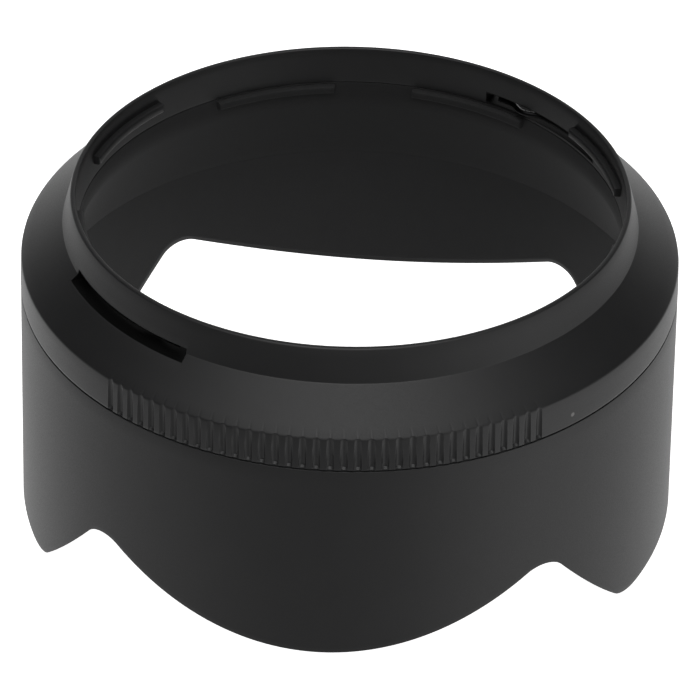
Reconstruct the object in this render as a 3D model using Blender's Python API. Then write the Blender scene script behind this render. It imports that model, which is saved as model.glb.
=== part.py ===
# Petal lens hood for a wide lens. It stands on its two long petals with the lens end up.
# +Z points at the lens, the long petals are at +X and -X, the short ones at +Y and -Y.
# Heights in the profiles are measured from the parting line between shade and collar.

import math

import bmesh
import bpy
from mathutils import Matrix, Vector

MM = 0.001

# Lens end: radii build outwards from the bore, heights upwards from the parting line.
BORE_RADIUS = 37.8
RIM_WIDTH = 0.7
NECK_FLARE = 1.3
SHOULDER_WIDTH = 5.9
BAND_TAPER = 0.3
BAND_HEIGHT = 4.7
SHOULDER_HEIGHT = 4.5
NECK_HEIGHT = 4.5
BAND_WALL = 1.5
SHOULDER_WALL = 1.3

# Shade: four petals, two long and two short.
SHADE_LENGTH = 36.35
SHADE_FLARE = 0.0461
SHADE_WALL = 1.65
TIP_WALL = 1.1
SHORT_PETAL_RISE = 6.35
SHORT_PETAL_CURVE = 50.6
LONG_PETAL_HALF_ANGLE = math.radians(30.4)
FLANK_ANGLE = math.radians(56.5)
NOTCH_RADIUS = 3.2
TIP_RADIUS = 3.75
SPIGOT_WALL = 1.3
SPIGOT_BLEND = (0.8, 5.0)

# Ring inside the collar that carries the lens's seat, hung below the neck's base.
# Its skirt leads the bore out to the shade's inner wall.
RING_DROP = 1.3
RING_HEIGHT = 2.7
RING_WALL = 1.3
RING_FLANGE = 1.0
SKIRT_LENGTH = 13.2
SKIRT_WALL = 1.4
SKIRT_EDGE = 0.45

# Bayonet lugs: upper ones on the collar, lower ones on the ring.
LUG_DEPTH = 1.0
LUG_HEIGHT = 1.3
LUG_TOP_BELOW_RING = 0.15
UPPER_LUG_RISE = 0.8
UPPER_LUG_CENTRES = (-114.0, -66.0, 66.0, 114.0)
UPPER_LUG_SPAN = 26.0
LOWER_LUG_CENTRES = (-157.0, -23.0, 23.0, 157.0)
LOWER_LUG_SPAN = 28.0

# Finger grip: flutes over both short petals.
FLUTE_COUNT = 35
FLUTE_PITCH = 2.2
FLUTE_WIDTH = 1.0
FLUTE_DEPTH = 0.45

# Click springs: a wire in a slot at the foot of the neck, one on each side of the bore.
SLOT_START = -61.2
SLOT_END = -26.7
SLOT_DROP = 0.85
WIRE_THICKNESS = 0.8
WIRE_ROOM = 0.325
WIRE_SETBACK = 1.1
WIRE_LEAN = 0.5
WIRE_TAIL = 2.2
WIRE_END_GAP = 3.0
BUMP_CENTRE = -37.0
BUMP_SPAN = 9.0
BUMP_REACH = 1.1

# Flock lining on the inside of the shade.
LINING_THICKNESS = 0.5
LINING_MARGIN = 1.2

GAP = 0.3
PARTING_GAP = 0.5
EDGE_CHAMFER = 0.2
TURN_STEPS = 96
CLEAR = 5.0

RIM_RADIUS = BORE_RADIUS + RIM_WIDTH
NECK_BASE_RADIUS = RIM_RADIUS + NECK_FLARE
SHOULDER_EDGE_RADIUS = NECK_BASE_RADIUS + SHOULDER_WIDTH
BAND_RADIUS = SHOULDER_EDGE_RADIUS + BAND_TAPER
SHOULDER_TOP = BAND_HEIGHT + SHOULDER_HEIGHT
RIM_TOP = SHOULDER_TOP + NECK_HEIGHT
SPIGOT_RADIUS = BAND_RADIUS - BAND_WALL - GAP
SPIGOT_INNER_RADIUS = SPIGOT_RADIUS - SPIGOT_WALL
TIP_Z = -SHADE_LENGTH
RING_TOP = SHOULDER_TOP - RING_DROP
RING_BOTTOM = RING_TOP - RING_HEIGHT
SPIGOT_TOP = RING_BOTTOM - GAP
SKIRT_END = RING_BOTTOM - SKIRT_LENGTH
UPPER_LUG_FOOT = SHOULDER_TOP + UPPER_LUG_RISE
SLOT_BOTTOM = SHOULDER_TOP - SLOT_DROP
SLOT_TOP = SLOT_BOTTOM + WIRE_THICKNESS + 2 * WIRE_ROOM


def remove_everything():
    for thing in list(bpy.data.objects):
        bpy.data.objects.remove(thing)


def material(name, colour, roughness, metallic=0.0):
    made = bpy.data.materials.new(name)
    made.use_nodes = True
    shader = made.node_tree.nodes["Principled BSDF"]
    shader.inputs["Base Color"].default_value = (*colour, 1.0)
    shader.inputs["Roughness"].default_value = roughness
    shader.inputs["Metallic"].default_value = metallic
    made.diffuse_color = (*colour, 1.0)
    return made


def object_from(name, shape, look=None):
    # The shape is in millimetres above the parting line; the object stands on z = 0.
    shape.transform(Matrix.Scale(MM, 4) @ Matrix.Translation((0, 0, SHADE_LENGTH)))
    bmesh.ops.recalc_face_normals(shape, faces=shape.faces[:])
    mesh = bpy.data.meshes.new(name)
    shape.to_mesh(mesh)
    shape.free()
    made = bpy.data.objects.new(name, mesh)
    bpy.context.scene.collection.objects.link(made)
    if look:
        mesh.materials.append(look)
        mesh.shade_smooth()
        mesh.set_sharp_from_angle(angle=math.radians(30))
    else:
        made.hide_render = True
        made.display_type = "WIRE"
    return made


def combine(target, other, operation="DIFFERENCE"):
    change = target.modifiers.new(other.name, "BOOLEAN")
    change.object = other
    change.operation = operation
    change.solver = "EXACT"


def bearing(degrees):
    # Direction in plan: 0 at the short petal on -Y, growing towards the long petal on +X.
    turn = math.radians(degrees)
    return Vector((math.sin(turn), -math.cos(turn), 0))


def turned_ring(profile):
    # A closed profile of (radius, height) points turned all the way round.
    shape = bmesh.new()
    corners = [shape.verts.new((radius, 0, height)) for radius, height in profile]
    edges = [shape.edges.new((a, b)) for a, b in zip(corners, corners[1:] + corners[:1])]
    bmesh.ops.spin(
        shape, geom=corners + edges, axis=(0, 0, 1), cent=(0, 0, 0), angle=math.tau,
        steps=TURN_STEPS, use_merge=True,
    )
    bmesh.ops.remove_doubles(shape, verts=shape.verts[:], dist=0.001)
    return shape


def add_sector(shape, profile, start, end):
    # The same profile turned only from one bearing to another, with both ends closed.
    corners = [
        shape.verts.new(bearing(start) * radius + Vector((0, 0, height)))
        for radius, height in profile
    ]
    face = shape.faces.new(corners)
    steps = max(4, round((end - start) / 3))
    bmesh.ops.spin(
        shape, geom=[face, *face.edges, *corners], axis=(0, 0, 1), cent=(0, 0, 0),
        angle=math.radians(end - start), steps=steps,
    )


def rectangle(inner, outer, bottom, top):
    return [(inner, bottom), (outer, bottom), (outer, top), (inner, top)]


def barrel_radius(height):
    return BAND_RADIUS - SHADE_FLARE * height


def cone_radius(height, inset):
    # The shoulder's slope, moved in by a distance square to its surface.
    slant = math.hypot(SHOULDER_WIDTH, SHOULDER_HEIGHT)
    along = (height - BAND_HEIGHT) * SHOULDER_WIDTH / SHOULDER_HEIGHT
    return SHOULDER_EDGE_RADIUS - along - inset * slant / SHOULDER_HEIGHT


def cone_height(radius, inset):
    slope = SHOULDER_HEIGHT / SHOULDER_WIDTH
    return BAND_HEIGHT + (cone_radius(BAND_HEIGHT, inset) - radius) * slope


def arc(centre, radius, start, end, steps):
    return [
        centre + radius * Vector((math.cos(turn), math.sin(turn)))
        for turn in (start + (end - start) * i / steps for i in range(steps + 1))
    ]


def petal_edge_half():
    # Front view (x, height), from the middle of a short petal out to a long petal's tip.
    foot = Vector((barrel_radius(TIP_Z) * math.cos(LONG_PETAL_HALF_ANGLE), TIP_Z))
    uphill = Vector((-math.cos(FLANK_ANGLE), math.sin(FLANK_ANGLE)))
    out_of_petal = Vector((-math.sin(FLANK_ANGLE), -math.cos(FLANK_ANGLE)))
    curve_centre = Vector((0, TIP_Z + SHORT_PETAL_RISE + SHORT_PETAL_CURVE))

    # Notch: a round tangent to the short petal's curve and to the straight flank.
    start = foot + out_of_petal * NOTCH_RADIUS - curve_centre
    reach = SHORT_PETAL_CURVE + NOTCH_RADIUS
    along = start.dot(uphill)
    travel = -along - math.sqrt(along * along - start.length_squared + reach * reach)
    if travel < 0:
        travel = -along + math.sqrt(along * along - start.length_squared + reach * reach)
    notch_centre = curve_centre + start + uphill * travel
    to_curve = curve_centre - notch_centre
    notch_from = math.atan2(to_curve.y, to_curve.x)
    notch_to = math.atan2(-out_of_petal.y, -out_of_petal.x)

    # Tip: a round tangent to the flank and to the flat end of the long petal.
    tip_tangent = TIP_RADIUS * math.tan(FLANK_ANGLE / 2)
    tip_centre = foot + Vector((tip_tangent, TIP_RADIUS))
    tip_from = math.atan2(out_of_petal.y, out_of_petal.x)

    curve_end = math.atan2(-to_curve.y, -to_curve.x)
    points = arc(curve_centre, SHORT_PETAL_CURVE, -math.pi / 2, curve_end, 14)
    points += arc(notch_centre, NOTCH_RADIUS, notch_from, notch_to, 8)
    points += arc(tip_centre, TIP_RADIUS, tip_from, -math.pi / 2, 5)
    return points


def petal_cutter(name, lift):
    # Everything below the petals' edge, as one block that runs through both sides.
    half = petal_edge_half()
    outline = [Vector((-p.x, p.y)) for p in reversed(half[1:])] + half
    below = TIP_Z - CLEAR
    outline = [Vector((outline[0].x, below)), *outline, Vector((outline[-1].x, below))]
    depth = barrel_radius(TIP_Z) + CLEAR
    shape = bmesh.new()
    face = shape.faces.new([shape.verts.new((p.x, -depth, p.y + lift)) for p in outline])
    swept = bmesh.ops.extrude_face_region(shape, geom=[face])["geom"]
    moved = [item for item in swept if isinstance(item, bmesh.types.BMVert)]
    bmesh.ops.translate(shape, verts=moved, vec=(0, 2 * depth, 0))
    return object_from(name, shape)


def inner_radius(height, inset=0.0):
    # The shade's inner wall below the spigot, moved in by an inset. It thins to the tips.
    below = -SPIGOT_BLEND[1]
    share = (below - height) / (below - TIP_Z)
    wall = SHADE_WALL + (TIP_WALL - SHADE_WALL) * share
    return barrel_radius(height) - wall - inset


def petal_shade(look):
    outer_inset = SHOULDER_WALL + GAP
    inner_inset = outer_inset + SPIGOT_WALL
    ledge = -PARTING_GAP / 2
    blend_top, blend_bottom = SPIGOT_BLEND
    profile = [
        (cone_radius(SPIGOT_TOP, outer_inset), SPIGOT_TOP),
        (SPIGOT_RADIUS, cone_height(SPIGOT_RADIUS, outer_inset)),
        (SPIGOT_RADIUS, ledge),
        (barrel_radius(ledge) - EDGE_CHAMFER, ledge),
        (barrel_radius(ledge), ledge - EDGE_CHAMFER),
        (barrel_radius(TIP_Z), TIP_Z),
        (inner_radius(TIP_Z), TIP_Z),
        (inner_radius(-blend_bottom), -blend_bottom),
        (SPIGOT_INNER_RADIUS, -blend_top),
        (SPIGOT_INNER_RADIUS, cone_height(SPIGOT_INNER_RADIUS, inner_inset)),
        (cone_radius(SPIGOT_TOP, inner_inset), SPIGOT_TOP),
    ]
    made = object_from("petal_shade", turned_ring(profile), look)
    combine(made, petal_cutter("petal_gaps", 0))
    return made


def flock_lining(look):
    top = SKIRT_END - GAP
    far = GAP + LINING_THICKNESS
    profile = [
        (inner_radius(top, GAP), top),
        (inner_radius(TIP_Z, GAP), TIP_Z),
        (inner_radius(TIP_Z, far), TIP_Z),
        (inner_radius(top, far), top),
    ]
    made = object_from("flock_lining", turned_ring(profile), look)
    combine(made, petal_cutter("lining_gaps", LINING_MARGIN))
    tip_trim = bmesh.new()
    bmesh.ops.create_cube(tip_trim, size=4 * BAND_RADIUS)
    bottom = TIP_Z + LINING_MARGIN - 2 * BAND_RADIUS
    bmesh.ops.translate(tip_trim, verts=tip_trim.verts[:], vec=(0, 0, bottom))
    combine(made, object_from("lining_trim", tip_trim))
    return made


def lugs(name, centres, span, foot):
    shape = bmesh.new()
    profile = rectangle(BORE_RADIUS - LUG_DEPTH, BORE_RADIUS + GAP, foot, foot + LUG_HEIGHT)
    for centre in centres:
        add_sector(shape, profile, centre - span / 2, centre + span / 2)
    return object_from(name, shape)


def bayonet_ring(look):
    inset = SHOULDER_WALL + GAP
    wall = BORE_RADIUS + RING_WALL
    flange_top = RING_BOTTOM + RING_FLANGE
    edge = inner_radius(SKIRT_END, GAP + LINING_THICKNESS)
    shoulder = -SPIGOT_BLEND[1]
    flare = (edge - BORE_RADIUS) / SKIRT_LENGTH
    profile = [
        (BORE_RADIUS, RING_TOP),
        (cone_radius(RING_TOP, inset), RING_TOP),
        (wall, cone_height(wall, inset)),
        (wall, flange_top),
        (cone_radius(flange_top, inset), flange_top),
        (cone_radius(RING_BOTTOM, inset), RING_BOTTOM),
        (BORE_RADIUS + SKIRT_WALL, RING_BOTTOM),
        (BORE_RADIUS + SKIRT_WALL + flare * (RING_BOTTOM - shoulder), shoulder),
        (edge + SKIRT_EDGE, SKIRT_END),
        (edge, SKIRT_END),
        (BORE_RADIUS, RING_BOTTOM),
    ]
    made = object_from("bayonet_ring", turned_ring(profile), look)
    foot = RING_TOP - LUG_TOP_BELOW_RING - LUG_HEIGHT
    combine(made, lugs("lower_lugs", LOWER_LUG_CENTRES, LOWER_LUG_SPAN, foot), "UNION")
    return made


def flute_cutter():
    # Round-bottomed grooves, open at the band's lower edge and through the shoulder's edge.
    half = FLUTE_WIDTH / 2
    radius = (half * half + FLUTE_DEPTH * FLUTE_DEPTH) / (2 * FLUTE_DEPTH)
    distance = BAND_RADIUS - FLUTE_DEPTH + radius
    height = BAND_HEIGHT + 2 * CLEAR / 5 + CLEAR
    shape = bmesh.new()
    for side in (0, 180):
        for i in range(FLUTE_COUNT):
            place = bearing(side + (i - (FLUTE_COUNT - 1) / 2) * FLUTE_PITCH) * distance
            place.z = height / 2 - CLEAR
            bmesh.ops.create_cone(
                shape, cap_ends=True, segments=10, radius1=radius, radius2=radius,
                depth=height, matrix=Matrix.Translation(place),
            )
    return object_from("flutes", shape)


def wire_height():
    return (SLOT_BOTTOM + SLOT_TOP) / 2


def hinge_point():
    place = bearing(SLOT_START) * (BORE_RADIUS + WIRE_SETBACK)
    place.z = wire_height()
    return place


def slot_cutter():
    # The slot, the strip of wall under it that the ring closes, and the wire's socket.
    shape = bmesh.new()
    outer = cone_radius(SLOT_BOTTOM, 0) + CLEAR / 5
    lip = cone_radius(RING_TOP, SHOULDER_WALL) + CLEAR / 50
    slot = rectangle(BORE_RADIUS - CLEAR / 5, outer, SLOT_BOTTOM, SLOT_TOP)
    strip = rectangle(BORE_RADIUS - CLEAR / 5, lip, RING_TOP - CLEAR / 5, SLOT_BOTTOM + GAP)
    stepped = [strip[0], strip[1], (lip, SLOT_BOTTOM), slot[1], slot[2], slot[3]]
    for side in (0, 180):
        add_sector(shape, stepped, side + SLOT_START, side + SLOT_END)
    return object_from("slots", shape)


def socket_cutter():
    shape = bmesh.new()
    length = WIRE_TAIL + 2 * GAP
    for side in (0, 180):
        backwards = bearing(side + SLOT_START - 90)
        place = bearing(side + SLOT_START) * (BORE_RADIUS + WIRE_SETBACK)
        place += backwards * (length / 2 - GAP)
        place.z = wire_height()
        turn = Vector((0, 0, 1)).rotation_difference(backwards).to_matrix().to_4x4()
        bmesh.ops.create_cone(
            shape, cap_ends=True, segments=12, radius1=WIRE_THICKNESS / 2 + GAP,
            radius2=WIRE_THICKNESS / 2 + GAP, depth=length,
            matrix=Matrix.Translation(place) @ turn,
        )
    return object_from("sockets", shape)


def mount_collar(look):
    foot = RING_TOP + GAP
    inner = BAND_RADIUS - BAND_WALL
    bottom = PARTING_GAP / 2
    profile = [
        (BORE_RADIUS, RIM_TOP - EDGE_CHAMFER),
        (BORE_RADIUS + EDGE_CHAMFER, RIM_TOP),
        (RIM_RADIUS, RIM_TOP),
        (NECK_BASE_RADIUS, SHOULDER_TOP),
        (SHOULDER_EDGE_RADIUS, BAND_HEIGHT),
        (BAND_RADIUS, bottom),
        (inner, bottom),
        (inner, cone_height(inner, SHOULDER_WALL)),
        (cone_radius(foot, SHOULDER_WALL), foot),
        (BORE_RADIUS, foot),
    ]
    made = object_from("mount_collar", turned_ring(profile), look)
    upper = lugs("upper_lugs", UPPER_LUG_CENTRES, UPPER_LUG_SPAN, UPPER_LUG_FOOT)
    combine(made, upper, "UNION")
    combine(made, slot_cutter())
    combine(made, socket_cutter())
    combine(made, flute_cutter())
    return made


def wire_line():
    # Straight tail in the socket, then an arm that follows the bore with one inward bump.
    hinge = hinge_point()
    backwards = bearing(SLOT_START - 90)
    points = [hinge + backwards * WIRE_TAIL, hinge + backwards * WIRE_TAIL / 2]
    end = SLOT_END - WIRE_END_GAP
    steps = 36
    for i in range(steps + 1):
        share = i / steps
        angle = SLOT_START + (end - SLOT_START) * share
        radius = BORE_RADIUS + WIRE_SETBACK - WIRE_LEAN * share
        off_centre = min(abs(angle - BUMP_CENTRE) / (BUMP_SPAN / 2), 1)
        radius -= BUMP_REACH * (1 + math.cos(math.pi * off_centre)) / 2
        points.append(bearing(angle) * radius + Vector((0, 0, wire_height())))
    return [(point - hinge) * MM for point in points]


def click_springs(look):
    line = wire_line()
    curve = bpy.data.curves.new("click_spring", "CURVE")
    curve.dimensions = "3D"
    curve.bevel_depth = WIRE_THICKNESS / 2 * MM
    curve.bevel_resolution = 2
    curve.use_fill_caps = True
    curve.materials.append(look)
    run = curve.splines.new("POLY")
    run.points.add(len(line) - 1)
    for point, place in zip(run.points, line):
        point.co = (*place, 1)
    for name, turn in (("click_spring_left", 0.0), ("click_spring_right", math.pi)):
        made = bpy.data.objects.new(name, curve)
        hinge = hinge_point() + Vector((0, 0, SHADE_LENGTH))
        made.location = Matrix.Rotation(turn, 4, "Z") @ (hinge * MM)
        made.rotation_euler.z = turn
        bpy.context.scene.collection.objects.link(made)


def build():
    remove_everything()
    petal_shade(material("shade_plastic", (0.022, 0.022, 0.023), 0.55))
    mount_collar(material("collar_plastic", (0.020, 0.020, 0.021), 0.45))
    bayonet_ring(material("ring_plastic", (0.018, 0.018, 0.019), 0.40))
    flock_lining(material("black_flock", (0.012, 0.012, 0.013), 0.95))
    click_springs(material("spring_steel", (0.06, 0.06, 0.065), 0.35, metallic=1.0))


build()
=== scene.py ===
import math

import bmesh
import bpy
from mathutils import Matrix, Quaternion, Vector


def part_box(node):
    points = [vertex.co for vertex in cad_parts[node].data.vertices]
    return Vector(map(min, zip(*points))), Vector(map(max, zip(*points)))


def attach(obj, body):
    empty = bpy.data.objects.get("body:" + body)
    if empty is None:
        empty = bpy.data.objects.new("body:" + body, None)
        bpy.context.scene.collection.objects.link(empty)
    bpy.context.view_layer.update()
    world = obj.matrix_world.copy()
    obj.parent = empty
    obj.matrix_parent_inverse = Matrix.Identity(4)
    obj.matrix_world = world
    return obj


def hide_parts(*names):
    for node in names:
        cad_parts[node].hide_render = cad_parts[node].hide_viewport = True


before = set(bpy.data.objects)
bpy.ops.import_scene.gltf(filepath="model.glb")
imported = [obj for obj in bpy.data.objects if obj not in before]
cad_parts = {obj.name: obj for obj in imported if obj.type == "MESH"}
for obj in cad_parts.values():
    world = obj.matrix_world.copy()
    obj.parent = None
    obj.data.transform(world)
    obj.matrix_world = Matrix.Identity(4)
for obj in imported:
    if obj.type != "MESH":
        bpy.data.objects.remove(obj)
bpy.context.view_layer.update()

# Petal lens hood standing on its two long petals, lens end up.
# Shapes are worked in millimetres above the seam between shade and collar, then put in metres.
mm = 0.001
partingGap = 0.5
collarLow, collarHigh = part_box("mount_collar")
shadeLow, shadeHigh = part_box("petal_shade")
seamHeight = collarLow[2] / mm - partingGap / 2
bandRadius = (collarHigh[1] - collarLow[1]) / 2 / mm
rimTop = collarHigh[2] / mm - seamHeight
tipHeight = shadeLow[2] / mm - seamHeight
shadeFlare = (shadeHigh[0] / mm - bandRadius) / -tipHeight


def barrelRadius(height):
    return bandRadius - shadeFlare * height


def bearingOf(point):
    # 0 at the short petal on -Y, growing towards the long petal on +X
    return math.degrees(math.atan2(point.x, -point.y))


def apart(a, b):
    # difference of two bearings, between -180 and 180
    return (a - b + 180) % 360 - 180


def planRadius(point):
    return math.hypot(point.x, point.y)


def outline(shape, corners):
    # closed outline of (radius, height, rounding) corners, in the plane of +X
    points = [shape.verts.new((radius, 0, height)) for radius, height, _ in corners]
    shape.faces.new(points)
    for rounding in sorted({corner[2] for corner in corners} - {0}):
        picked = [point for point, corner in zip(points, corners) if corner[2] == rounding]
        bmesh.ops.bevel(
            shape, geom=picked, offset=rounding, offset_type="OFFSET", segments=3,
            profile=0.5, affect="VERTICES", material=-1,
        )


def divide(shape, longest):
    # no edge of the outline stays longer than this
    for edge in list(shape.edges):
        cuts = math.ceil(edge.calc_length() / longest) - 1
        if cuts > 0:
            bmesh.ops.subdivide_edges(shape, edges=[edge], cuts=cuts)


def turnRound(shape, columns):
    # a plain full turn, made as twelve equal parts
    turn(shape, 0, [(30, columns // 12)], 12)


def turn(shape, start, runs, parts):
    # the outline turned about the axis in runs of (degrees, steps), from one bearing on,
    # through one of so many equal parts of the round, which then repeats
    bmesh.ops.delete(shape, geom=shape.faces[:], context="FACES_ONLY")
    bmesh.ops.rotate(
        shape, verts=shape.verts[:], cent=(0, 0, 0),
        matrix=Matrix.Rotation(math.radians(start - 90), 3, "Z"),
    )
    geometry = shape.verts[:] + shape.edges[:]
    for degrees, steps in runs:
        made = bmesh.ops.spin(
            shape, geom=geometry, axis=(0, 0, 1), cent=(0, 0, 0),
            angle=math.radians(degrees), steps=steps,
        )
        geometry = made["geom_last"]
    part = shape.verts[:] + shape.edges[:] + shape.faces[:]
    for i in range(1, parts):
        copied = bmesh.ops.duplicate(shape, geom=part)["geom"]
        bmesh.ops.rotate(
            shape, verts=[item for item in copied if isinstance(item, bmesh.types.BMVert)],
            cent=(0, 0, 0), matrix=Matrix.Rotation(math.tau * i / parts, 3, "Z"),
        )
    bmesh.ops.remove_doubles(shape, verts=shape.verts[:], dist=0.002)
    bmesh.ops.recalc_face_normals(shape, faces=shape.faces[:])


# edges bent past this get wear and a painted highlight
edgeWearAndHighlight = {"from": 8, "over": 35}        # degrees of bend


def markEdges(shape):
    # wear and painted highlight: 1 on rounded corners, falling to 0 on plain faces
    wearAndHighlight = shape.verts.layers.float.new("wearAndHighlight")
    for vert in shape.verts:
        bends = [edge.calc_face_angle(0) for edge in vert.link_edges if len(edge.link_faces) == 2]
        bend = math.degrees(max(bends, default=0))
        vert[wearAndHighlight] = min(1, max(0, bend - edgeWearAndHighlight["from"]) / edgeWearAndHighlight["over"])


def place(shape, name, body, nodes, look, sharpAngle=40):
    markEdges(shape)
    shape.transform(Matrix.Scale(mm, 4) @ Matrix.Translation((0, 0, seamHeight)))
    mesh = bpy.data.meshes.new(name)
    shape.to_mesh(mesh)
    shape.free()
    piece = bpy.data.objects.new(name, mesh)
    bpy.context.scene.collection.objects.link(piece)
    mesh.materials.append(look)
    mesh.shade_smooth()
    mesh.set_sharp_from_angle(angle=math.radians(sharpAngle))
    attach(piece, body)
    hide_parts(*nodes)
    print("piece:", name, len(mesh.polygons), "faces")


def addNode(tree, kind, inputs=None, **settings):
    # an input is either a plain value or the socket of another node
    node = tree.nodes.new(kind)
    for key, value in settings.items():
        setattr(node, key, value)
    for key, value in (inputs or {}).items():
        socket = node.inputs[key]
        if isinstance(value, bpy.types.NodeSocket):
            tree.links.new(value, socket)
        else:
            socket.default_value = value
    return node


def addSpeck(tree, where, tone, speck):
    # a fleck of pale dust on the surface
    away = addNode(tree, "ShaderNodeVectorMath", {0: where, 1: speck["at"]}, operation="DISTANCE")
    fleck = addNode(tree, "ShaderNodeMapRange", {
        "Value": away.outputs["Value"], "From Min": speck["size"] * 0.5 * mm,
        "From Max": speck["size"] * mm, "To Min": 1.0, "To Max": 0.0},
        interpolation_type="SMOOTHSTEP")
    return addNode(tree, "ShaderNodeMix", {
        "Factor": fleck.outputs["Result"], "A": tone, "B": (*speck["tone"], 1)},
        data_type="RGBA").outputs["Result"]


def mouldedPlastic(name, settings):
    look = bpy.data.materials.new(name)
    look.use_nodes = True
    tree = look.node_tree
    shader = tree.nodes["Principled BSDF"]
    where = addNode(tree, "ShaderNodeTexCoord").outputs["Object"]

    # spark-eroded mould grain, with a slower drift of tone over it
    grain = addNode(tree, "ShaderNodeTexNoise", {
        "Vector": where, "Scale": 1 / (settings["grainSize"] * mm), "Detail": 2.0,
        "Roughness": 0.6})
    drift = addNode(tree, "ShaderNodeTexNoise", {
        "Vector": where, "Scale": 1 / (settings["driftSize"] * mm), "Detail": 3.0,
        "Roughness": 0.55})
    # rounded edges get a paler, smoother tone: partly wear, partly a painted highlight where light
    # would catch them
    wearAndHighlight = addNode(tree, "ShaderNodeAttribute", attribute_name="wearAndHighlight", attribute_type="GEOMETRY")
    scuffs = addNode(tree, "ShaderNodeTexNoise", {
        "Vector": where, "Scale": 1 / (settings["scuffSize"] * mm), "Detail": 4.0, "Roughness": 0.7})
    wornAndLit = addNode(tree, "ShaderNodeMath", {0: wearAndHighlight.outputs["Fac"], 1: scuffs.outputs["Fac"]},
                     operation="MULTIPLY")

    tone = addNode(tree, "ShaderNodeMix", {
        "Factor": drift.outputs["Fac"], "A": (*settings["darkTone"], 1),
        "B": (*settings["paleTone"], 1)}, data_type="RGBA")
    edged = addNode(tree, "ShaderNodeMix", {
        "Factor": wornAndLit.outputs[0], "A": tone.outputs["Result"],
        "B": (*settings["edgeWearAndHighlightTone"], 1)}, data_type="RGBA")
    rough = addNode(tree, "ShaderNodeMapRange", {
        "Value": grain.outputs["Fac"], "From Min": 0.3, "From Max": 0.7,
        "To Min": settings["roughness"] - settings["roughnessSpread"],
        "To Max": settings["roughness"] + settings["roughnessSpread"]})
    polished = addNode(tree, "ShaderNodeMath", {
        0: wornAndLit.outputs[0], 1: -settings["edgePolish"], 2: rough.outputs["Result"]},
        operation="MULTIPLY_ADD")
    relief = addNode(tree, "ShaderNodeBump", {
        "Strength": settings["relief"], "Distance": settings["grainDepth"] * mm,
        "Height": grain.outputs["Fac"]})

    shown = edged.outputs["Result"]
    if "speck" in settings:
        shown = addSpeck(tree, where, shown, settings["speck"])
    if "slotShadeShine" in settings:
        # painted shade: the walls of a slot are made darker and less shiny than the plastic round it
        slotShade = addNode(tree, "ShaderNodeAttribute", attribute_name="slotShade",
                           attribute_type="GEOMETRY").outputs["Fac"]
        shown = addNode(tree, "ShaderNodeMix", {
            "Factor": slotShade, "A": shown, "B": (*settings["slotShadeTone"], 1)},
            data_type="RGBA").outputs["Result"]
        shine = addNode(tree, "ShaderNodeMapRange", {
            "Value": slotShade, "To Min": settings["shine"], "To Max": settings["slotShadeShine"]})
        tree.links.new(shine.outputs["Result"], shader.inputs["Specular IOR Level"])
    tree.links.new(shown, shader.inputs["Base Color"])
    tree.links.new(polished.outputs[0], shader.inputs["Roughness"])
    tree.links.new(relief.outputs["Normal"], shader.inputs["Normal"])
    shader.inputs["IOR"].default_value = settings["ior"]
    return look


shadeFinish = {
    "grainSize": 0.16, "grainDepth": 0.012, "relief": 0.6, "driftSize": 6.0, "scuffSize": 2.5,
    "darkTone": (0.0075, 0.0075, 0.0078), "paleTone": (0.0115, 0.0115, 0.0120),
    "edgeWearAndHighlightTone": (0.020, 0.020, 0.0207), "roughness": 0.54, "roughnessSpread": 0.06,
    "edgePolish": 0.12, "ior": 1.5,
}
shadeLook = mouldedPlastic("shadePlastic", shadeFinish)

speckBearing, speckHeight = 44.4, 1.56
speckTurn = math.radians(speckBearing)
speckAt = Vector((math.sin(speckTurn) * bandRadius, -math.cos(speckTurn) * bandRadius,
                  speckHeight + seamHeight)) * mm
# the collar's finish carries painted shade for its slot walls: a near-black tone and low shine
collarFinish = dict(
    shadeFinish, grainSize=0.14, roughness=0.50, driftSize=4.0, slotShadeTone=(0.002, 0.002, 0.002),
    shine=0.5, slotShadeShine=0.08, speck={"at": speckAt, "size": 0.4, "tone": (0.16, 0.155, 0.15)},
)
collarLook = mouldedPlastic("collarPlastic", collarFinish)

ringFinish = dict(
    shadeFinish, grainSize=0.1, grainDepth=0.04, relief=0.7, roughness=0.85, driftSize=3.0,
    darkTone=(0.0090, 0.0090, 0.0093), paleTone=(0.0125, 0.0125, 0.0129),
    edgeWearAndHighlightTone=(0.0150, 0.0150, 0.0154), edgePolish=0.0,
)
ringLook = mouldedPlastic("ringPlastic", ringFinish)

liningFinish = dict(
    shadeFinish, grainSize=0.1, grainDepth=0.04, relief=0.8, roughness=0.85, driftSize=3.0,
    darkTone=(0.0145, 0.0145, 0.0149), paleTone=(0.0195, 0.0195, 0.0200),
    edgeWearAndHighlightTone=(0.0195, 0.0195, 0.0200), edgePolish=0.0,
)
liningLook = mouldedPlastic("blackFlock", liningFinish)


wireFinish = {
    "drawnSize": 0.25, "drawnDepth": 0.004, "relief": 0.3, "roughness": (0.25, 0.42),
    "darkTone": (0.007, 0.007, 0.0073), "paleTone": (0.018, 0.018, 0.0187),
}


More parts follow.
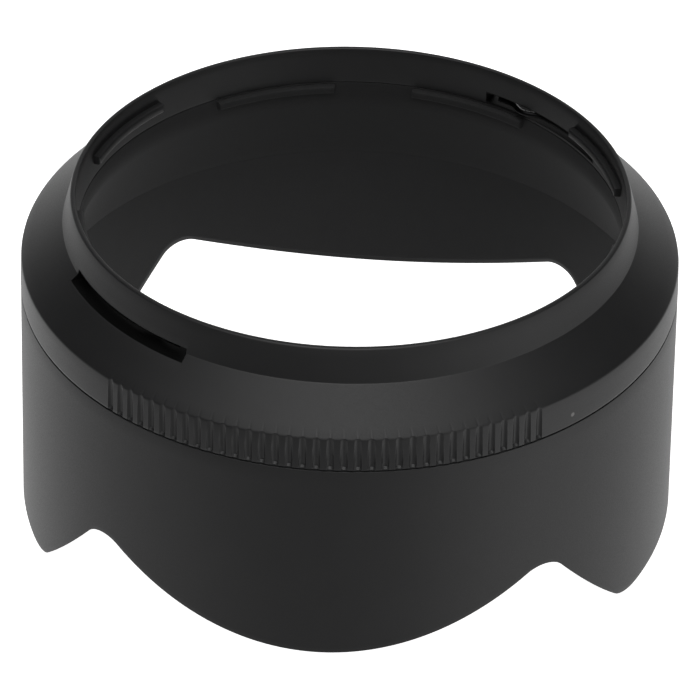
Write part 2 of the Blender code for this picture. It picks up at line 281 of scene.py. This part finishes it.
def steelWire(name, settings):
    look = bpy.data.materials.new(name)
    look.use_nodes = True
    tree = look.node_tree
    shader = tree.nodes["Principled BSDF"]
    where = addNode(tree, "ShaderNodeTexCoord").outputs["Object"]
    drawn = addNode(tree, "ShaderNodeTexNoise", {
        "Vector": where, "Scale": 1 / (settings["drawnSize"] * mm), "Detail": 3.0, "Roughness": 0.6})
    rough = addNode(tree, "ShaderNodeMapRange", {
        "Value": drawn.outputs["Fac"], "From Min": 0.3, "From Max": 0.7,
        "To Min": settings["roughness"][0], "To Max": settings["roughness"][1]})
    tone = addNode(tree, "ShaderNodeMix", {
        "Factor": drawn.outputs["Fac"], "A": (*settings["darkTone"], 1),
        "B": (*settings["paleTone"], 1)}, data_type="RGBA")
    relief = addNode(tree, "ShaderNodeBump", {
        "Strength": settings["relief"], "Distance": settings["drawnDepth"] * mm,
        "Height": drawn.outputs["Fac"]})
    tree.links.new(tone.outputs["Result"], shader.inputs["Base Color"])
    tree.links.new(rough.outputs["Result"], shader.inputs["Roughness"])
    tree.links.new(relief.outputs["Normal"], shader.inputs["Normal"])
    shader.inputs["Metallic"].default_value = 1.0
    return look


wireLook = steelWire("springSteel", wireFinish)
print("materials made")


# the petals' edge, as seen from the front
petals = {
    "shortRise": 6.35,        # short petals end this far above the long ones
    "shortCurve": 50.6,       # radius of a short petal's end
    "longHalfAngle": 30.4,    # half of a long petal's flat end, seen from above
    "flank": 56.5,            # slope of a long petal's sides
    "notchRadius": 3.2,
    "tipRadius": 3.75,
}


def edgeOutline():
    # the rounds and straights that the edge is made of, worked out once
    flank = math.radians(petals["flank"])
    curve, notch, tip = petals["shortCurve"], petals["notchRadius"], petals["tipRadius"]
    footAcross = barrelRadius(tipHeight) * math.cos(math.radians(petals["longHalfAngle"]))
    foot = Vector((footAcross, tipHeight))
    uphill = Vector((-math.cos(flank), math.sin(flank)))
    outwards = Vector((-math.sin(flank), -math.cos(flank)))
    curveCentre = Vector((0, tipHeight + petals["shortRise"] + curve))
    start = foot + outwards * notch - curveCentre
    reach = curve + notch
    along = start.dot(uphill)
    root = math.sqrt(along * along - start.length_squared + reach * reach)
    travel = -along - root if -along - root > 0 else -along + root
    notchCentre = curveCentre + start + uphill * travel
    tipCentre = foot + Vector((tip * math.tan(flank / 2), tip))
    return {
        "curveCentre": curveCentre, "notchCentre": notchCentre, "tipCentre": tipCentre,
        "foot": foot, "slope": math.tan(flank),
        "curveEnd": (curveCentre + (notchCentre - curveCentre) * (curve / reach)).x,
        "notchEnd": (notchCentre - outwards * notch).x,
        "flankEnd": (tipCentre + outwards * tip).x,
    }


edgeParts = edgeOutline()


def petalEdge(across):
    # height of the edge at a distance from the middle plane, before any margin
    across = abs(across)
    curve, notch, tip = petals["shortCurve"], petals["notchRadius"], petals["tipRadius"]
    if across < edgeParts["curveEnd"]:
        return edgeParts["curveCentre"].y - math.sqrt(curve * curve - across * across)
    if across < edgeParts["notchEnd"]:
        side = across - edgeParts["notchCentre"].x
        return edgeParts["notchCentre"].y + math.sqrt(notch * notch - side * side)
    if across < edgeParts["flankEnd"]:
        return tipHeight + (edgeParts["foot"].x - across) * edgeParts["slope"]
    if across < edgeParts["tipCentre"].x:
        side = across - edgeParts["tipCentre"].x
        return edgeParts["tipCentre"].y - math.sqrt(tip * tip - side * side)
    return tipHeight


def shapePetals(shape, top, margin, keep):
    # rows below top slide down or up to the petals' edge; the last few keep their spacing
    bottom = min(vert.co.z for vert in shape.verts)
    for vert in shape.verts:
        height, radius = vert.co.z, planRadius(vert.co)
        if height > top:
            continue
        inset = barrelRadius(height) - radius
        sine = vert.co.x / radius
        newHeight = height
        for _ in range(3):
            edge = petalEdge((barrelRadius(newHeight) - inset) * sine) + margin
            edge = max(edge, tipHeight + margin)
            if height < bottom + keep:
                newHeight = height + edge - bottom
            else:
                share = (top - height) / (top - bottom - keep)
                newHeight = top + (edge + keep - top) * share
        scale = (barrelRadius(newHeight) - inset) / radius
        vert.co = Vector((vert.co.x * scale, vert.co.y * scale, newHeight))


shade = {
    "wall": 1.65,             # at the spigot's foot
    "tipWall": 1.1,
    "spigotRadius": 44.2,
    "spigotWall": 1.3,
    "spigotTop": 4.9,
    "spigotBlend": (0.8, 5.0),
    "ledge": -0.24,
    "ledgeTop": -0.08,
    "ledgeStep": 0.22,        # the seam's depth in from the barrel
    "ledgeRounding": 0.06,
    "edgeRounding": 0.28,
    "columns": 1080,
    "longestRow": 3.2,
    "keep": 1.0,
}


def innerRadius(height, inset=0.0):
    # the shade's inner wall, moved in by an inset
    below = -shade["spigotBlend"][1]
    share = (below - height) / (below - tipHeight)
    return barrelRadius(height) - shade["wall"] + (shade["wall"] - shade["tipWall"]) * share - inset


def makeShade():
    ledge = shade["ledge"]
    blendTop, blendBottom = shade["spigotBlend"]
    inner = shade["spigotRadius"] - shade["spigotWall"]
    nearTip = tipHeight + shade["keep"]
    shape = bmesh.new()
    outline(shape, [
        (shade["spigotRadius"], shade["spigotTop"], 0),
        (shade["spigotRadius"], shade["ledgeTop"], 0),
        (barrelRadius(ledge) - shade["ledgeStep"], shade["ledgeTop"], 0),
        (barrelRadius(ledge) - shade["ledgeStep"], ledge, 0),
        (barrelRadius(ledge), ledge, shade["ledgeRounding"]),
        (barrelRadius(-blendBottom), -blendBottom, 0),
        (barrelRadius(nearTip), nearTip, 0),
        (barrelRadius(tipHeight), tipHeight, shade["edgeRounding"]),
        (innerRadius(tipHeight), tipHeight, shade["edgeRounding"]),
        (innerRadius(nearTip), nearTip, 0),
        (innerRadius(-blendBottom), -blendBottom, 0),
        (inner, -blendTop, 0),
        (inner, shade["spigotTop"], 0),
    ])
    divide(shape, shade["longestRow"])
    turnRound(shape, shade["columns"])
    shapePetals(shape, -blendBottom, 0, shade["keep"])
    place(shape, "petalShade", "hood", ["petal_shade"], shadeLook)


lining = {
    "clearance": 0.05,
    "thickness": 0.62,
    "margin": 1.2,
    "top": -8.2,
    "straight": 0.5,          # height below the top that the petals leave alone
    "rounding": 0.2,
    "columns": 720,
}


def makeLining():
    low = tipHeight + lining["margin"]
    near = lining["clearance"]
    far = near + lining["thickness"]
    top, nearLow = lining["top"], low + shade["keep"]
    shape = bmesh.new()
    outline(shape, [
        (innerRadius(top, near), top, 0),
        (innerRadius(nearLow, near), nearLow, 0),
        (innerRadius(low, near), low, 0),
        (innerRadius(low, far), low, lining["rounding"]),
        (innerRadius(nearLow, far), nearLow, 0),
        (innerRadius(top, far), top, 0),
    ])
    divide(shape, shade["longestRow"])
    turnRound(shape, lining["columns"])
    shapePetals(shape, top - lining["straight"], lining["margin"], shade["keep"])
    place(shape, "flockLining", "hood", ["flock_lining"], liningLook)


collar = {
    "bore": 37.8,
    "rim": 38.5,
    "neckBase": (39.8, 9.2),
    "shoulderEdge": (45.7, 4.7),
    "bandWall": 1.5,
    "innerTop": 3.98,
    "foot": (38.97, 8.0),
    "bottom": -0.04,
    "rimRounding": 0.22,
    "creaseRows": 0.14,
    "edgeRounding": 0.22,
    "bottomRounding": 0.12,
    "sharpAngle": 33,         # keeps the crease at the foot of the neck crisp
    "longestRow": 1.45,
    "flutedHalf": 39.6,       # degrees either side of a short petal with fine columns
    "fineStep": 0.2,
    "plainStep": 0.6,
}
flutes = {"count": 35, "pitch": 2.2, "width": 1.0, "depth": 0.45,
          "runOut": (0.08, 0.34), "runOutShare": 0.75,
          # degrees from a flute's middle: where a column was, and where it goes
          "stops": ((0, 0), (0.2, 0.24), (0.4, 0.45), (0.6, 0.58), (0.8, 0.625), (1.0, 0.8),
                    (1.1, 1.1))}
# the last value is how far in from the outer face the slot walls start to get painted shade, in mm
slots = {"start": -61.2, "end": -26.8, "bottom": 8.35, "top": 9.8, "rounding": 0.16,
         "slotShadeFrom": 0.1}
upperLugs = {"centres": (-114, -66, 66, 114), "span": 26.4, "bottom": 10.0, "top": 11.3,
             "depth": 1.0, "rounding": 0.3}
lowerLugs = {"centres": (-157, -23, 23, 157), "span": 28, "bottom": 6.45, "top": 7.6,
             "depth": 1.0, "rounding": 0.3}


def onShoulder(height):
    # radius of the collar's outer face at a height, on the shoulder or on the neck
    (baseRadius, base), (edgeRadius, edge) = collar["neckBase"], collar["shoulderEdge"]
    if height < base:
        return baseRadius + (base - height) * (edgeRadius - baseRadius) / (base - edge)
    return baseRadius + (height - base) * (collar["rim"] - baseRadius) / (rimTop - base)


def grooveRadius(bearing):
    # distance from the axis to the bottom of the flute at this bearing, if there is one
    side = round(bearing / 180) * 180
    index = round(apart(bearing, side) / flutes["pitch"])
    if abs(index) > (flutes["count"] - 1) / 2:
        return math.inf
    half, depth = flutes["width"] / 2, flutes["depth"]
    rounding = (half * half + depth * depth) / (2 * depth)
    distance = bandRadius - depth + rounding
    across = distance * math.sin(math.radians(apart(bearing, side) - index * flutes["pitch"]))
    if abs(across) >= rounding:
        return math.inf
    along = math.sqrt(distance * distance - across * across)
    return along - math.sqrt(rounding * rounding - across * across)


def gatherColumns(shape):
    # columns slide towards the flutes' edges, so that those come out crisp
    stops = flutes["stops"]
    for vert in shape.verts:
        bearing = bearingOf(vert.co)
        side = round(bearing / 180) * 180
        index = round(apart(bearing, side) / flutes["pitch"])
        if abs(index) > (flutes["count"] - 1) / 2:
            continue
        offset = apart(bearing, side) - index * flutes["pitch"]
        size = abs(offset)
        for (a, fromA), (b, fromB) in zip(stops, stops[1:]):
            if a <= size <= b + 1e-6:
                moved = fromA + (fromB - fromA) * (size - a) / (b - a)
                swing = moved - size if offset > 0 else size - moved
                vert.co.rotate(Matrix.Rotation(math.radians(swing), 3, "Z"))
                break


def cutFlutes(shape):
    for vert in shape.verts:
        radius = planRadius(vert.co)
        groove = grooveRadius(bearingOf(vert.co))
        if radius > groove:
            # each flute slopes out again at its lower end, which catches the light
            low, high = flutes["runOut"]
            rise = min(1, max(0, (high - vert.co.z) / (high - low))) * flutes["runOutShare"]
            cut = groove + (radius - groove) * rise
            vert.co.x *= cut / radius
            vert.co.y *= cut / radius


def facesBetween(shape, start, end, bottom, top, outside):
    # faces on the outside or on the bore, between two bearings and two heights
    found = []
    middle, half = (start + end) / 2, (end - start) / 2
    for face in shape.faces:
        centre = face.calc_center_median()
        if not bottom < centre.z < top or abs(apart(bearingOf(centre), middle)) > half:
            continue
        away = face.normal.x * centre.x + face.normal.y * centre.y > 0
        if away == outside and abs(face.normal.z) < 0.95:
            found.append(face)
    return found


def borderOf(faces):
    picked = set(faces)
    return [e for face in faces for e in face.edges if sum(f in picked for f in e.link_faces) == 1]


def cutSlot(shape, start, end):
    # both skins are opened, their openings joined through the wall, and the outer rim eased
    outer = facesBetween(shape, start, end, slots["bottom"], slots["top"], True)
    inner = facesBetween(shape, start, end, slots["bottom"], slots["top"], False)
    outerRim, innerRim = borderOf(outer), borderOf(inner)
    bmesh.ops.delete(shape, geom=outer + inner, context="FACES")
    bmesh.ops.bridge_loops(shape, edges=outerRim + innerRim)
    bmesh.ops.bevel(
        shape, geom=outerRim, offset=slots["rounding"], offset_type="OFFSET", segments=3,
        profile=0.5, affect="EDGES", clamp_overlap=True, material=-1,
    )
    middle, half = (start + end) / 2, (end - start) / 2
    # the slot's deep walls are marked for painted shade: near-black colour and low shine in the
    # collar's material
    slotShade = shape.verts.layers.float.get("slotShade") or shape.verts.layers.float.new("slotShade")
    for vert in shape.verts:
        at = vert.co
        inSlot = slots["bottom"] - 0.01 < at.z < slots["top"] + 0.01
        deep = inSlot and onShoulder(at.z) - planRadius(at) > slots["slotShadeFrom"]
        if deep and abs(apart(bearingOf(at), middle)) < half + 0.1:
            vert[slotShade] = 1


def raiseLugs(shape, settings):
    # lugs grow out of the bore's own faces towards the axis
    for centre in settings["centres"]:
        half = settings["span"] / 2
        faces = facesBetween(shape, centre - half, centre + half, settings["bottom"],
                             settings["top"], False)
        grown = bmesh.ops.extrude_face_region(shape, geom=faces)["geom"]
        bmesh.ops.delete(shape, geom=faces, context="FACES")
        tips = [item for item in grown if isinstance(item, bmesh.types.BMVert)]
        scale = (collar["bore"] - settings["depth"]) / collar["bore"]
        bmesh.ops.scale(shape, verts=tips, vec=(scale, scale, 1))
        faces = [item for item in grown if isinstance(item, bmesh.types.BMFace)]
        bmesh.ops.bevel(
            shape, geom=borderOf(faces), offset=settings["rounding"], offset_type="OFFSET",
            segments=3, profile=0.5, affect="EDGES", clamp_overlap=True, material=-1,
        )


def makeCollar():
    bore, rim = collar["bore"], collar["rim"]
    bottom = collar["bottom"]
    inside = bandRadius - collar["bandWall"]
    footRadius, foot = collar["foot"]
    crease, near = collar["neckBase"][1], collar["creaseRows"]
    shape = bmesh.new()
    outline(shape, [
        (bore, rimTop, collar["rimRounding"]),
        (rim, rimTop, collar["rimRounding"]),
        (onShoulder(slots["top"]), slots["top"], 0),
        (onShoulder(crease + near), crease + near, 0),
        (*collar["neckBase"], 0),
        (onShoulder(crease - near), crease - near, 0),
        (onShoulder(slots["bottom"]), slots["bottom"], 0),
        (*collar["shoulderEdge"], collar["edgeRounding"]),
        (bandRadius, flutes["runOut"][1], 0),
        (bandRadius, bottom, collar["bottomRounding"]),
        (inside, bottom, 0),
        (inside, collar["innerTop"], 0),
        (footRadius, foot, 0),
        (bore, foot, 0),
        (bore, slots["bottom"], 0),
        (bore, crease - near, 0),
        (bore, crease, 0),
        (bore, crease + near, 0),
        (bore, slots["top"], 0),
        (bore, upperLugs["bottom"], 0),
        (bore, upperLugs["top"], 0),
    ])
    divide(shape, collar["longestRow"])
    fluted = 2 * collar["flutedHalf"]
    plain = 180 - fluted
    fineSteps, plainSteps = round(fluted / collar["fineStep"]), round(plain / collar["plainStep"])
    turn(shape, -collar["flutedHalf"], [(fluted, fineSteps), (plain, plainSteps)], 2)
    gatherColumns(shape)
    cutFlutes(shape)
    shape.normal_update()
    for side in (0, 180):
        cutSlot(shape, side + slots["start"], side + slots["end"])
    raiseLugs(shape, upperLugs)
    bmesh.ops.recalc_face_normals(shape, faces=shape.faces[:])
    place(shape, "mountCollar", "hood", ["mount_collar"], collarLook,
          collar["sharpAngle"])


ring = {"top": 7.9, "bottom": 5.2, "wall": 1.3, "flange": 1.0, "skirtEnd": -8.18,
        "skirtWall": 1.4, "skirtEdge": 0.45, "skirtShoulder": -5.0, "rounding": 0.15,
        "setback": 2.1,           # in from the collar's outer face
        "topDrop": 0.4, "longestRow": 2.2, "columns": 720}


def makeRing():
    bore = collar["bore"]
    wall = bore + ring["wall"]
    flangeTop = ring["bottom"] + ring["flange"]
    inset = ring["setback"]
    edge = innerRadius(ring["skirtEnd"], lining["clearance"] + lining["thickness"])
    shoulder = ring["skirtShoulder"]
    flare = (edge - bore) / (ring["bottom"] - ring["skirtEnd"])
    back = bore + ring["skirtWall"] + flare * (ring["bottom"] - shoulder)
    shape = bmesh.new()
    outline(shape, [
        (bore, ring["top"], ring["rounding"]),
        (onShoulder(ring["top"]) - inset, ring["top"], 0),
        (wall, ring["top"] - ring["topDrop"], 0),
        (wall, flangeTop, 0),
        (onShoulder(flangeTop) - inset, flangeTop, 0),
        (onShoulder(ring["bottom"]) - inset, ring["bottom"], 0),
        (bore + ring["skirtWall"], ring["bottom"], 0),
        (back, shoulder, 0),
        (edge + ring["skirtEdge"], ring["skirtEnd"], 0),
        (edge, ring["skirtEnd"], 0),
        (bore, ring["bottom"], 0),
        (bore, lowerLugs["bottom"], 0),
        (bore, lowerLugs["top"], 0),
    ])
    divide(shape, ring["longestRow"])
    turnRound(shape, ring["columns"])
    shape.normal_update()
    raiseLugs(shape, lowerLugs)
    bmesh.ops.recalc_face_normals(shape, faces=shape.faces[:])
    place(shape, "bayonetRing", "hood", ["bayonet_ring"], ringLook)


spring = {"thickness": 0.8, "setback": 1.1, "lean": 0.5, "tail": 2.2, "endGap": 3.0,
          "bumpCentre": -37.0, "bumpSpan": 9.0, "bumpReach": 1.1, "points": 60,
          "hingeStart": -61.2, "armEnd": -26.7, "height": 9.075}


def towards(degrees):
    return Vector((math.sin(math.radians(degrees)), -math.cos(math.radians(degrees)), 0))


def makeSpring(name, body, node, side):
    height = Vector((0, 0, spring["height"]))
    start, end = spring["hingeStart"], spring["armEnd"] - spring["endGap"]
    hinge = towards(start) * (collar["bore"] + spring["setback"]) + height
    line = [hinge + towards(start - 90) * spring["tail"] * share for share in (1, 0.66, 0.33)]
    for i in range(spring["points"] + 1):
        share = i / spring["points"]
        angle = start + (end - start) * share
        radius = collar["bore"] + spring["setback"] - spring["lean"] * share
        offCentre = min(abs(angle - spring["bumpCentre"]) / (spring["bumpSpan"] / 2), 1)
        radius -= spring["bumpReach"] * (1 + math.cos(math.pi * offCentre)) / 2
        line.append(towards(angle) * radius + height)
    wire = bpy.data.curves.new(name, "CURVE")
    wire.dimensions = "3D"
    wire.bevel_depth = spring["thickness"] / 2 * mm
    wire.bevel_resolution = 5
    wire.use_fill_caps = True
    wire.materials.append(wireLook)
    run = wire.splines.new("POLY")
    run.points.add(len(line) - 1)
    spin = Matrix.Rotation(math.radians(side), 3, "Z")
    for point, at in zip(run.points, line):
        point.co = (*(spin @ (at + Vector((0, 0, seamHeight))) * mm), 1)
    run.use_smooth = True
    piece = bpy.data.objects.new(name, wire)
    bpy.context.scene.collection.objects.link(piece)
    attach(piece, body)
    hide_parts(node)
    print("piece:", name)


makeShade()
makeLining()
makeCollar()
makeRing()
makeSpring("clickWireLeft", "left_click", "click_spring_left", 0)
makeSpring("clickWireRight", "right_click", "click_spring_right", 180)


studio = {
    "eye": (26.52, -314.63, 251.09), "aim": (0.79, -6.65, 26.82), "roll": 0.989,
    "lens": 139.59, "sensor": 36.0, "floorSize": 6.0, "floorTone": 0.85,
    "floorGlow": 1.0, "floorRoughness": 0.9, "clip": (0.01, 50),
}


def makeCamera():
    data = bpy.data.cameras.new("studioCamera")
    data.sensor_width = studio["sensor"]
    data.lens = studio["lens"]
    data.clip_start, data.clip_end = studio["clip"]
    camera = bpy.data.objects.new("studioCamera", data)
    eye, aim = Vector(studio["eye"]) * mm, Vector(studio["aim"]) * mm
    look = (aim - eye).to_track_quat("-Z", "Y")
    camera.rotation_mode = "QUATERNION"
    camera.rotation_quaternion = look @ Quaternion((0, 0, 1), math.radians(studio["roll"]))
    camera.location = eye
    bpy.context.scene.collection.objects.link(camera)
    bpy.context.scene.camera = camera
    print("camera placed")


def makeFloor():
    shape = bmesh.new()
    bmesh.ops.create_grid(shape, x_segments=1, y_segments=1, size=studio["floorSize"] / 2)
    mesh = bpy.data.meshes.new("studioFloor")
    shape.to_mesh(mesh)
    shape.free()
    floor = bpy.data.objects.new("studioFloor", mesh)
    bpy.context.scene.collection.objects.link(floor)
    look = bpy.data.materials.new("lightTable")
    look.use_nodes = True
    shader = look.node_tree.nodes["Principled BSDF"]
    tone = studio["floorTone"]
    shader.inputs["Base Color"].default_value = (tone, tone, tone, 1)
    shader.inputs["Roughness"].default_value = studio["floorRoughness"]
    shader.inputs["Emission Color"].default_value = (1, 1, 1, 1)
    shader.inputs["Emission Strength"].default_value = studio["floorGlow"]
    mesh.materials.append(look)
    floor.visible_diffuse = False      # the light below comes from the world instead
    floor.visible_glossy = False
    print("floor laid")


# a softbox overhead, one high in front, one low at the right, and a white table that glows
# from below: bearing, elevation, full strength within, nothing beyond, strength
softBoxes = {
    "overhead": (5, 85, 5, 35, 2.5),
    "frontHigh": (5, 50, 5, 45, 1.5),
    "rightLow": (60, -10, 5, 40, 1.0),
    "tableBehind": (185, -30, 10, 70, 2.0),
    "tableLeft": (275, -35, 10, 50, 1.0),
    "tableRight": (95, -35, 10, 50, 1.0),
    "tableFront": (5, -45, 10, 60, 0.5),
}


def makeLight():
    world = bpy.data.worlds.new("studioLight")
    world.use_nodes = True
    bpy.context.scene.world = world
    tree = world.node_tree
    where = addNode(tree, "ShaderNodeTexCoord").outputs["Generated"]
    total = None
    for bearing, elevation, full, none, strength in softBoxes.values():
        up = math.radians(elevation)
        aim = towards(bearing) * math.cos(up) + Vector((0, 0, math.sin(up)))
        facing = addNode(tree, "ShaderNodeVectorMath", {0: where, 1: aim}, operation="DOT_PRODUCT")
        box = addNode(tree, "ShaderNodeMapRange", {
            "Value": facing.outputs["Value"], "From Min": math.cos(math.radians(none)),
            "From Max": math.cos(math.radians(full)), "To Max": strength},
            interpolation_type="SMOOTHSTEP")
        if total is None:
            total = box.outputs["Result"]
        else:
            total = addNode(tree, "ShaderNodeMath", {0: total, 1: box.outputs["Result"]},
                              operation="ADD").outputs[0]
    seen = addNode(tree, "ShaderNodeLightPath").outputs["Is Camera Ray"]
    shown = addNode(tree, "ShaderNodeMix", {"Factor": seen, "A": total, "B": 1.0}, data_type="FLOAT")
    background = tree.nodes["Background"]
    background.inputs["Color"].default_value = (0.8, 0.8, 0.8, 1)
    tree.links.new(shown.outputs["Result"], background.inputs["Strength"])
    print("light set:", len(softBoxes), "soft boxes")


makeCamera()
makeFloor()
makeLight()
bpy.context.scene.view_settings.view_transform = "Standard"
